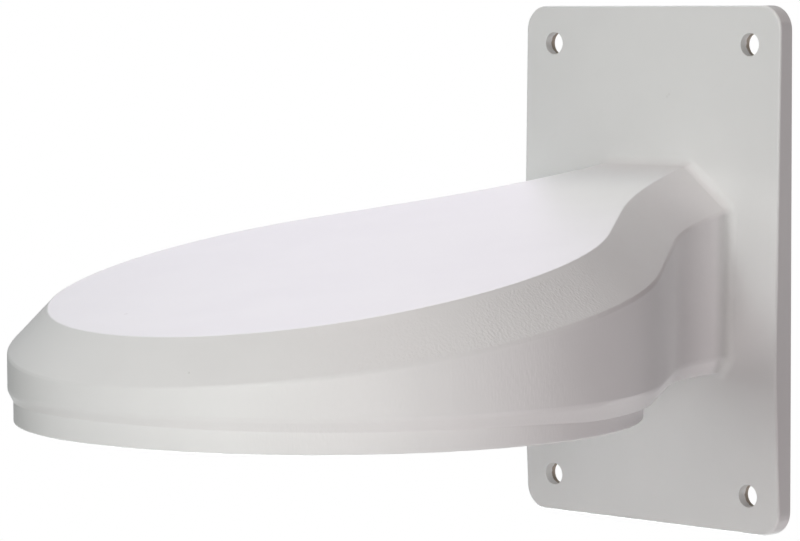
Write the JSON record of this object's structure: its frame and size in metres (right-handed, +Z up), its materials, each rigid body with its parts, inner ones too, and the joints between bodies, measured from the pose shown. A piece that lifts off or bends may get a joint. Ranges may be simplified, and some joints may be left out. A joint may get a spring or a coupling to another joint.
{
  "type": "camera wall bracket",
  "caption": "Hollow one-piece wall bracket: upright plate, flat-topped arm that widens to a round cap, and a round rim below that seats a dome camera.",
  "frame": {"origin": "centre of the plate's back rim, in the plane of the wall that it lies on; the axis of the wall screw pattern runs through it", "axes": "+Y into the wall, so the arm reaches out along -Y; +Z up; +X to the right of the bracket seen from the room"},
  "size_m": [0.1704, 0.2201, 0.15],
  "materials": {
    "painted_casting": "light warm grey powder coat, fine orange peel, low sheen"
  },
  "bodies": {
    "root": {"bracket_casting": "painted_casting"}
  },
  "joints": []
}
